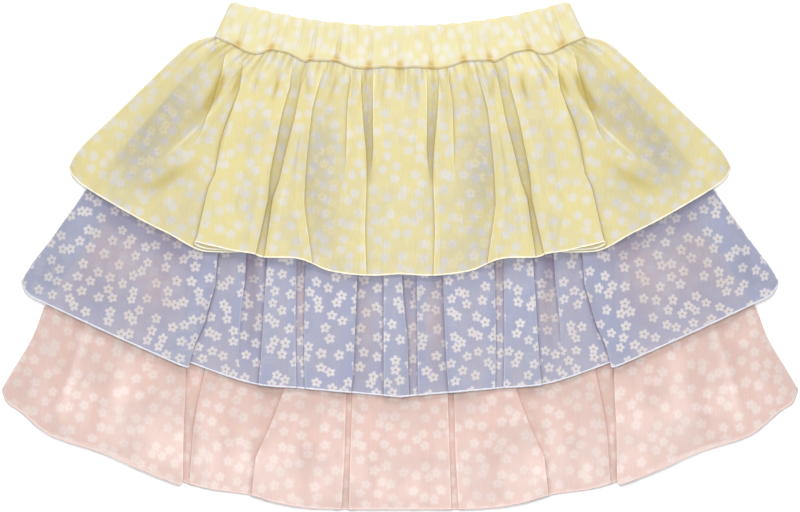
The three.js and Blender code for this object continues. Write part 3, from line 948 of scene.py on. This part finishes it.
# Creases of the front panel: troughs with painted shade, ridges with painted highlight where the shade is
# below 0, and stripes of painted shade alone where depth is 0.
top_creases_left = [
    crease([(-114.5, 118), (-116.5, 112), (-119.5, 105), (-124, 97)], 2.6, -1.2, 2.4),
    crease([(-116, 114), (-120, 106), (-126, 98), (-132, 90)], 3.2, -0.6, 0.6),
    crease([(-122, 104), (-133, 92), (-143, 80), (-154, 70)], 4.5, -1.0, 0.7),
    crease([(-120, 96), (-134, 81), (-152, 65)], 1.4, 1.0, -0.6),
    crease([(-134, 60), (-146, 53), (-156, 47), (-168, 43)], 4.8, -0.9, 1.25),
    crease([(-140, 112), (-156, 92), (-174, 70), (-184, 54)], 9, -0.8, 0.35),
    crease([(-119, 136), (-124, 128), (-132, 118)], 2.5, -0.8, 0.5),
    crease([(-127, 70), (-136, 42), (-142, 22)], 5, -0.6, 0.15),
    crease(wide_stripe, 4, 0, 0.5),
    crease([(-56, 60), (-57, 40), (-54, 22)], 4, -0.5, 0.45),
    crease([(-108, 98), (-111, 88), (-115, 74), (-118, 60)], 1.0, 0, 1.1),
    crease([(-30, 116), (-30, 104), (-31, 90)], 4, -0.4, 0.5),
    crease([(-104, 119), (-106, 112), (-109, 104)], 1.7, -1.0, 1.7),
    crease([(-91, 119), (-93, 113), (-95, 106)], 1.5, -0.8, 1.2),
    crease([(-78.5, 119), (-80, 110), (-83, 100)], 1.8, -1.0, 1.7),
    crease([(-60, 119), (-60, 111), (-59, 104)], 1.5, -0.8, 1.1),
    crease([(-41, 118), (-43, 110), (-46, 101)], 1.6, -0.8, 1.3),
    crease([(-10, 118), (-10.5, 110), (-12, 99)], 1.6, -0.8, 1.1),
    crease(short_stripe, 2.4, 0, 0.65),
    crease([(-44, 112), (-47, 80), (-44, 40), (-42, 0)], 8, -0.6, 0.16),
    crease([(-98, 100), (-100, 70), (-106, 40)], 6, -0.6, 0.14),
]
top_close_left = [
    crease([(-138, 112), (-152, 88), (-168, 64), (-158, 50)], 15, 0, 0.85),
    crease(wide_stripe, 4, 0, 0.55),
    crease([(-49, 104), (-53, 64), (-52, 30), (-46, -8)], 13, 0, 0.62),
    crease(short_stripe, 2.5, 0, 0.9),
]
top_closeness = [*top_close_left, *mirrored(top_close_left)]
top_creases = [*top_creases_left, *mirrored(top_creases_left)]
top_front_voile, top_front = panel_piece(
    "top", "front", top_pleats, top_down, 0.85, (5190, 1120), yellow,
    closeness=top_closeness, seed=32, wave=0.5, creases=top_creases, gathers=top_gathers,
)

cream_thread = edge_thread("cream_rolled_hem", (0.82, 0.79, 0.68), (0.62, 0.56, 0.38))
top_back_hem = hem_edge("top_tier_back_hem", top_back, 1.3, 0.4, cream_thread)
top_front_hem = hem_edge("top_tier_front_hem", top_front, 1.15, 0.6, cream_thread)
declare_panel(top_back_voile, top_back_hem)
declare_panel(
    top_front_voile, top_front_hem,
)

# ---------------------------------------------------------------------------
# The waistband: a casing of the yellow voile, folded double round a soft elastic that shirrs it, and
# sewn to the tops of the six panels. A row of edge-stitching runs just above the seam.
band_top_half, band_seam_half = 110.5, 121.5  # half its width at the top fold and at the seam
band_top_y, band_top_rise, band_curve = 149.8, 15.2, 2.1  # the top fold, which dips in the middle
band_height = 6 * WALL + 5 * 0.3
casing = 3.3  # how thick each of its two faces is
shirring = 1.3  # flat length of the casing for each length of the shirred band
casing_drop = 28  # down one face, on the cloth
band_yellow = voile(
    "yellow_band_voile", ground=(0.565, 0.52, 0.31), deep=(0.545, 0.49, 0.275), shadow=(0.40, 0.26, 0.07),
    light=(0.64, 0.60, 0.45), petal=(0.55, 0.53, 0.455), eye=(0.545, 0.52, 0.435), blur=2.1,
    notch=0.04, solid=0.95, petal_solid=0.96, contact=0.04, radius=3.7,
)
# The casing's wall from its top fold down its outer face and up its inner one: share down, share out.
casing_section = [
    (0.0, 0.0), (0.006, 0.5), (0.025, 0.85), (0.06, 1.0), (0.12, 1.06), (0.2, 1.1), (0.3, 1.12), (0.4, 1.12),
    (0.5, 1.12), (0.6, 1.12), (0.7, 1.1), (0.78, 1.06), (0.85, 0.98), (0.89, 0.9), (0.93, 0.78), (0.96, 0.82),
    (0.985, 0.6), (1.0, 0.0), (0.98, -0.6), (0.9, -0.8), (0.7, -0.8), (0.5, -0.8), (0.3, -0.8), (0.1, -0.8),
    (0.02, -0.5),
]
# The shirrs, pressed into the casing by the elastic: which face, how far across, how deep, how broad,
# from and to how far down, and how they lean. They are hardest where the seam is pinched.
draw = np.random.default_rng(9)
shirrs = []
for face in (1, -1):
    for at in pinches:
        shirrs.append((face, at / band_seam_half, 1.1, 1.5, 1.0, 0.25, 0.012))
    at = -0.985
    while at < 0.985:
        shirrs.append((
            face, at, draw.uniform(0.35, 1.0), draw.uniform(0.8, 1.6),
            draw.uniform(0.3, 1.25), draw.uniform(-0.6, 0.5), draw.uniform(-0.02, 0.02),
        ))
        at += draw.uniform(0.03, 0.062)

side_steps, end_steps = 420, 12
shares = np.linspace(-1, 1, side_steps)
turns = np.linspace(0, np.pi, end_steps + 2)[1:-1]
around = [(1, share, 0.0) for share in shares] + [(0, 1.0, turn) for turn in turns]
around += [(-1, share, np.pi) for share in shares[::-1]] + [(0, -1.0, np.pi + turn) for turn in turns]
face, share, turn = (np.array(column)[:, None] for column in zip(*around))
fallen, out = (np.array(column)[None, :] for column in zip(*casing_section))
ruffle = np.zeros((len(around), len(casing_section)))
band_shade = np.zeros_like(ruffle)
for side, at, depth, breadth, low, high, lean in shirrs:
    held = soft((low - fallen) / 0.3) * soft((fallen - high) / 0.3) if high < low else 0
    away = (share - at - lean * (fallen - 0.5)) * band_seam_half / breadth
    trough = np.exp(-(away**2)) * held * (face == side)
    ruffle = ruffle - depth * trough * np.maximum(out, 0)
    # Painted shade in the trough of each shirr, stronger towards the seam.
    band_shade = band_shade + 0.5 * depth * trough * (out > 0) * (0.35 + 0.65 * soft((fallen - 0.6) / 0.4))
# Painted shade where the seam pinches the casing in.
for at in pinches:
    away = (share - at / band_seam_half) * band_seam_half / 2.6
    band_shade = band_shade + 1.3 * np.exp(-(away**2)) * soft((fallen - 0.72) / 0.2) * (out > 0)
# A thin line of painted shade just under the edge-stitching.
under_stitch_shade = np.exp(-(((fallen - 0.965) / 0.02) ** 2))
band_shade = band_shade + 0.65 * under_stitch_shade * (out > 0)
swell = 0.35 * np.sin(share * 61 + 1.3 * np.sin(share * 23)) * (1 - fallen) ** 2
half = mix(band_top_half, band_seam_half, fallen)
thick = casing / 2 * out + ruffle
centre = band_height / 2 - casing / 2
end_reach = centre + thick
flat_x = share * (half - band_height / 2)
x = np.where(face == 0, flat_x + np.sign(share) * end_reach * np.abs(np.sin(turn)), flat_x)
z = band_height / 2 + 0.4 + end_reach * np.cos(turn)
seam_rows = {1: top_front[0], -1: top_back[0]}
for side, row in seam_rows.items():
    sewn = np.interp(x, row[:, 0], row[:, 2]) + side * (0.15 + thick)
    z = np.where(face == side, mix(z, sewn, soft((fallen - 0.45) / 0.55)), z)
z = np.maximum(z, 0.02)
top_y = band_top_y + band_top_rise * np.abs(share) ** band_curve
y = mix(top_y, seam_y(np.clip(x, -band_seam_half, band_seam_half)), fallen) + swell
band_points = np.stack([x, y, z], 2)
band_faces = []
for i in range(len(around)):
    this, following = i * out.size, (i + 1) % len(around) * out.size
    for k in range(out.size):
        after = (k + 1) % out.size
        band_faces.append((this + k, this + after, following + after, following + k))
band = mesh_piece("waistband_voile", band_points.reshape(-1, 3), band_faces, band_yellow)
steps = np.hypot(np.diff(flat_x[:, 0]), np.diff(z[:, 9]))
band_along = np.hstack([0, np.cumsum(np.where(np.diff(face[:, 0]) == 0, steps, 3.0))])[:, None]
band_down = fallen * casing_drop * np.sign(out + 0.01)
band_places = np.stack(np.broadcast_arrays(band_along * shirring / 10, band_down / 10), 2)
cloth_places(band, band_places, np.clip(band_shade, -1, most_shade))


def thread_line(name, path, thick, material):
    """A thread laid along a path."""
    curve = bpy.data.curves.new(name, "CURVE")
    curve.dimensions = "3D"
    curve.bevel_depth = thick / 2 * MM
    curve.bevel_resolution = 2
    line = curve.splines.new("POLY")
    line.points.add(len(path) - 1)
    line.points.foreach_set("co", np.hstack([path * MM, np.ones((len(path), 1))]).ravel())
    curve.materials.append(material)
    thread = bpy.data.objects.new(name, curve)
    bpy.context.collection.objects.link(thread)
    return thread


stitch_thread = edge_thread("cream_stitch_thread", (0.66, 0.60, 0.40), (0.42, 0.30, 0.12))
front_face = slice(3, side_steps - 3)
stitch_row = 14  # the place in the casing section that the stitches pull in
stitched = band_points[front_face, stitch_row] + [0, 0, 0.12]
edge_stitch = thread_line("waistband_edge_stitch", stitched, 0.3, stitch_thread)
for cloth in (band, edge_stitch):
    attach(cloth, "root")
    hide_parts("waistband")
